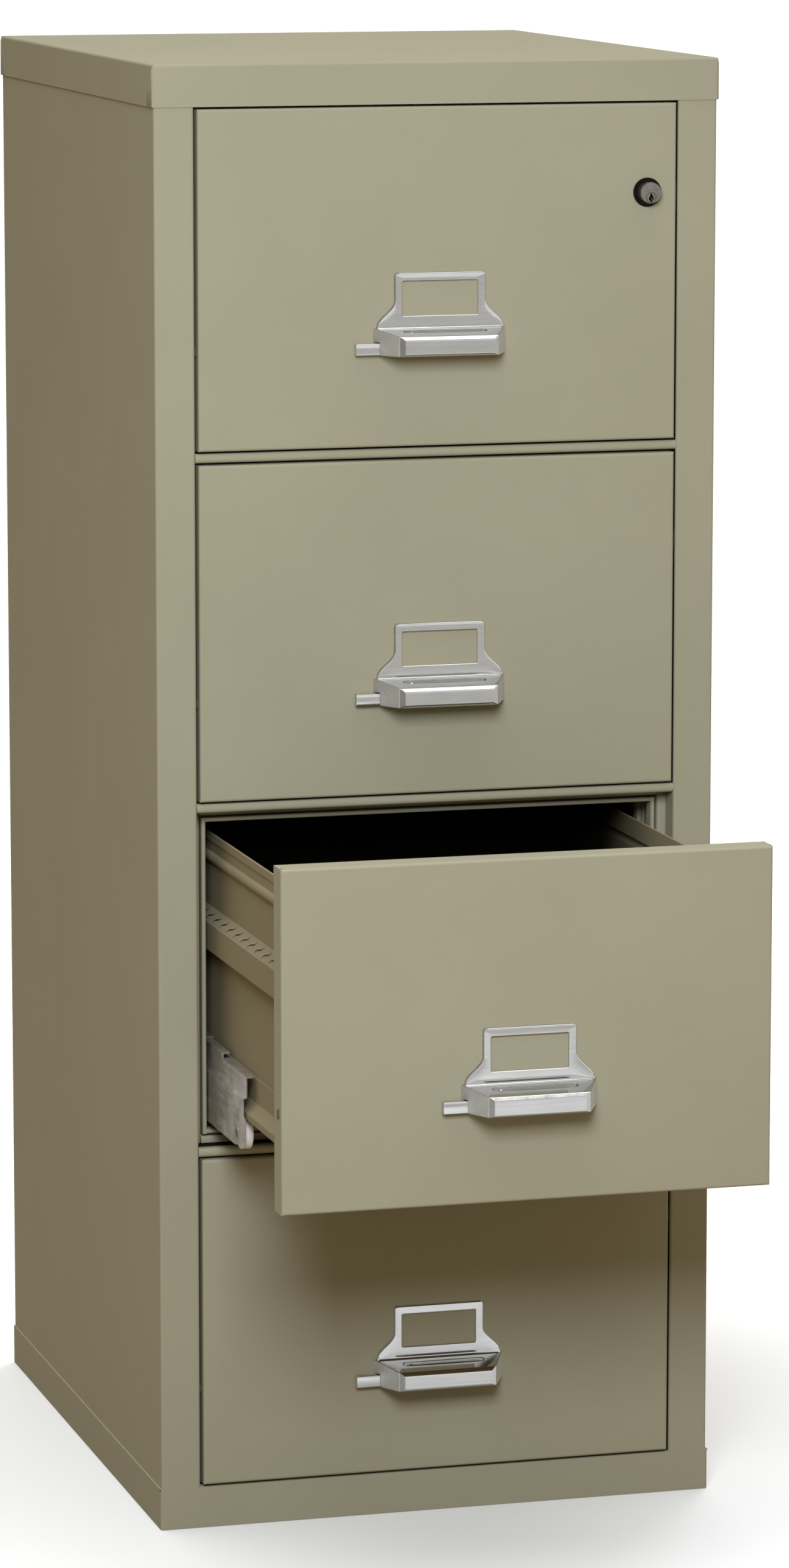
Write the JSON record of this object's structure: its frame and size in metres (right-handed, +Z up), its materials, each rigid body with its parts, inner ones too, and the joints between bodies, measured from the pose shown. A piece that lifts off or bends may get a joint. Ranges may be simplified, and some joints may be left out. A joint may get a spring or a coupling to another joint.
{
  "type": "fireproof filing cabinet",
  "caption": "Upright fire-insulated steel filing cabinet with stacked drawers on half-travel roller cradles, chrome grips with thumb latches and a push lock; one drawer stands open.",
  "frame": {"origin": "centre of the base's footprint on the floor", "axes": "+Z up, -Y out of the drawer fronts, +X to the right as seen facing the drawers"},
  "size_m": [0.5286, 0.9594, 1.3398],
  "materials": {
    "paint": "satin",
    "fill": "matte",
    "galvanised": "satin",
    "chrome": "polished",
    "nylon": "satin",
    "bronze": "satin",
    "nickel": "satin"
  },
  "bodies": {
    "cabinet": {"outer_wrapper": "paint", "top_cap": "paint", "base_pan": "paint", "side_insulation": "fill", "back_insulation": "fill", "shelf_insulation": "fill", "opening_rails": "paint", "opening_frames": "paint", "drawer_liners": "paint", "slide_uprights": "paint", "case_channels": "galvanised", "latch_strikes": "galvanised"},
    "drawer_1": {"drawer_head_1": "paint", "head_core_1": "fill", "head_cover_1": "paint", "drawer_sides_1": "paint", "drawer_floor_1": "paint", "handle_1": "chrome", "latch_spring_1": "galvanised", "lock_bezel": "bronze"},
    "cradle_1": {"slide_cradles_1": "galvanised"},
    "cradle_roller_1": {"cradle_rollers_1": "nylon"},
    "case_roller_1": {"case_rollers_1": "nylon"},
    "latch_1": {"thumb_latch_1": "chrome"},
    "drawer_2": {"drawer_head_2": "paint", "head_core_2": "fill", "head_cover_2": "paint", "drawer_sides_2": "paint", "drawer_floor_2": "paint", "handle_2": "chrome", "latch_spring_2": "galvanised"},
    "cradle_2": {"slide_cradles_2": "galvanised"},
    "cradle_roller_2": {"cradle_rollers_2": "nylon"},
    "case_roller_2": {"case_rollers_2": "nylon"},
    "latch_2": {"thumb_latch_2": "chrome"},
    "drawer_3": {"drawer_head_3": "paint", "head_core_3": "fill", "head_cover_3": "paint", "drawer_sides_3": "paint", "drawer_floor_3": "paint", "handle_3": "chrome", "latch_spring_3": "galvanised"},
    "cradle_3": {"slide_cradles_3": "galvanised"},
    "cradle_roller_3": {"cradle_rollers_3": "nylon"},
    "case_roller_3": {"case_rollers_3": "nylon"},
    "latch_3": {"thumb_latch_3": "chrome"},
    "drawer_4": {"drawer_head_4": "paint", "head_core_4": "fill", "head_cover_4": "paint", "drawer_sides_4": "paint", "drawer_floor_4": "paint", "handle_4": "chrome", "latch_spring_4": "galvanised"},
    "cradle_4": {"slide_cradles_4": "galvanised"},
    "cradle_roller_4": {"cradle_rollers_4": "nylon"},
    "case_roller_4": {"case_rollers_4": "nylon"},
    "latch_4": {"thumb_latch_4": "chrome"},
    "lock_plunger": {"lock_plunger": "nickel"},
    "lock_plug": {"lock_plug": "nickel"},
    "lock_bar": {"lock_bar": "galvanised"}
  },
  "joints": [
    {"name": "drawer_1_slide", "type": "slide", "parent": "cabinet", "child": "drawer_1", "axis": [0, -1, 0], "range_m": [0, 0.48]},
    {"name": "cradle_1_slide", "type": "slide", "parent": "cabinet", "child": "cradle_1", "axis": [0, -1, 0], "range_m": [0, 0.2405]},
    {"name": "cradle_roller_1_spin", "type": "hinge", "parent": "cradle_1", "child": "cradle_roller_1", "pos_m": [0, -0.2576, 1.0244], "axis": [1, 0, 0], "continuous": true},
    {"name": "case_roller_1_spin", "type": "hinge", "parent": "cabinet", "child": "case_roller_1", "pos_m": [0, -0.2251, 1.0089], "axis": [1, 0, 0], "continuous": true},
    {"name": "latch_1_slide", "type": "slide", "parent": "drawer_1", "child": "latch_1", "axis": [1, 0, 0], "range_m": [0, 0.0085], "stiffness_N_per_m": 300, "deforming": ["latch_spring_1"]},
    {"name": "drawer_2_slide", "type": "slide", "parent": "cabinet", "child": "drawer_2", "axis": [0, -1, 0], "range_m": [0, 0.48]},
    {"name": "cradle_2_slide", "type": "slide", "parent": "cabinet", "child": "cradle_2", "axis": [0, -1, 0], "range_m": [0, 0.2405]},
    {"name": "cradle_roller_2_spin", "type": "hinge", "parent": "cradle_2", "child": "cradle_roller_2", "pos_m": [0, -0.2576, 0.7064], "axis": [1, 0, 0], "continuous": true},
    {"name": "case_roller_2_spin", "type": "hinge", "parent": "cabinet", "child": "case_roller_2", "pos_m": [0, -0.2251, 0.6909], "axis": [1, 0, 0], "continuous": true},
    {"name": "latch_2_slide", "type": "slide", "parent": "drawer_2", "child": "latch_2", "axis": [1, 0, 0], "range_m": [0, 0.0085], "stiffness_N_per_m": 300, "deforming": ["latch_spring_2"]},
    {"name": "drawer_3_slide", "type": "slide", "parent": "cabinet", "child": "drawer_3", "axis": [0, -1, 0], "range_m": [-0.285, 0.195]},
    {"name": "cradle_3_slide", "type": "slide", "parent": "cabinet", "child": "cradle_3", "axis": [0, -1, 0], "range_m": [-0.143, 0.098]},
    {"name": "cradle_roller_3_spin", "type": "hinge", "parent": "cradle_3", "child": "cradle_roller_3", "pos_m": [0, -0.4001, 0.3884], "axis": [1, 0, 0], "continuous": true},
    {"name": "case_roller_3_spin", "type": "hinge", "parent": "cabinet", "child": "case_roller_3", "pos_m": [0, -0.2251, 0.3729], "axis": [1, 0, 0], "continuous": true},
    {"name": "latch_3_slide", "type": "slide", "parent": "drawer_3", "child": "latch_3", "axis": [1, 0, 0], "range_m": [0, 0.0085], "stiffness_N_per_m": 300, "deforming": ["latch_spring_3"]},
    {"name": "drawer_4_slide", "type": "slide", "parent": "cabinet", "child": "drawer_4", "axis": [0, -1, 0], "range_m": [0, 0.48]},
    {"name": "cradle_4_slide", "type": "slide", "parent": "cabinet", "child": "cradle_4", "axis": [0, -1, 0], "range_m": [0, 0.2405]},
    {"name": "cradle_roller_4_spin", "type": "hinge", "parent": "cradle_4", "child": "cradle_roller_4", "pos_m": [0, -0.2576, 0.0704], "axis": [1, 0, 0], "continuous": true},
    {"name": "case_roller_4_spin", "type": "hinge", "parent": "cabinet", "child": "case_roller_4", "pos_m": [0, -0.2251, 0.0549], "axis": [1, 0, 0], "continuous": true},
    {"name": "latch_4_slide", "type": "slide", "parent": "drawer_4", "child": "latch_4", "axis": [1, 0, 0], "range_m": [0, 0.0085], "stiffness_N_per_m": 300, "deforming": ["latch_spring_4"]},
    {"name": "lock_plunger_slide", "type": "slide", "parent": "drawer_1", "child": "lock_plunger", "axis": [0, 1, 0], "range_m": [0, 0.011]},
    {"name": "lock_plug_turn", "type": "hinge", "parent": "lock_plunger", "child": "lock_plug", "pos_m": [0.1958, -0.3201, 1.2149], "axis": [0, -1, 0], "range_deg": [0, 90]},
    {"name": "lock_bar_slide", "type": "slide", "parent": "cabinet", "child": "lock_bar", "axis": [0, 0, -1], "range_m": [0, 0.0112]}
  ],
  "couplings": [
    {"joint": "cradle_1_slide", "follows": "drawer_1_slide", "ratio": 0.5},
    {"joint": "cradle_roller_1_spin", "follows": "drawer_1_slide", "rad_per_m": 33.333},
    {"joint": "case_roller_1_spin", "follows": "drawer_1_slide", "rad_per_m": 71.429},
    {"joint": "cradle_2_slide", "follows": "drawer_2_slide", "ratio": 0.5},
    {"joint": "cradle_roller_2_spin", "follows": "drawer_2_slide", "rad_per_m": 33.333},
    {"joint": "case_roller_2_spin", "follows": "drawer_2_slide", "rad_per_m": 71.429},
    {"joint": "cradle_3_slide", "follows": "drawer_3_slide", "ratio": 0.5},
    {"joint": "cradle_roller_3_spin", "follows": "drawer_3_slide", "rad_per_m": 33.333},
    {"joint": "case_roller_3_spin", "follows": "drawer_3_slide", "rad_per_m": 71.429},
    {"joint": "cradle_4_slide", "follows": "drawer_4_slide", "ratio": 0.5},
    {"joint": "cradle_roller_4_spin", "follows": "drawer_4_slide", "rad_per_m": 33.333},
    {"joint": "case_roller_4_spin", "follows": "drawer_4_slide", "rad_per_m": 71.429},
    {"joint": "lock_bar_slide", "follows": "lock_plunger_slide", "ratio": 1}
  ]
}
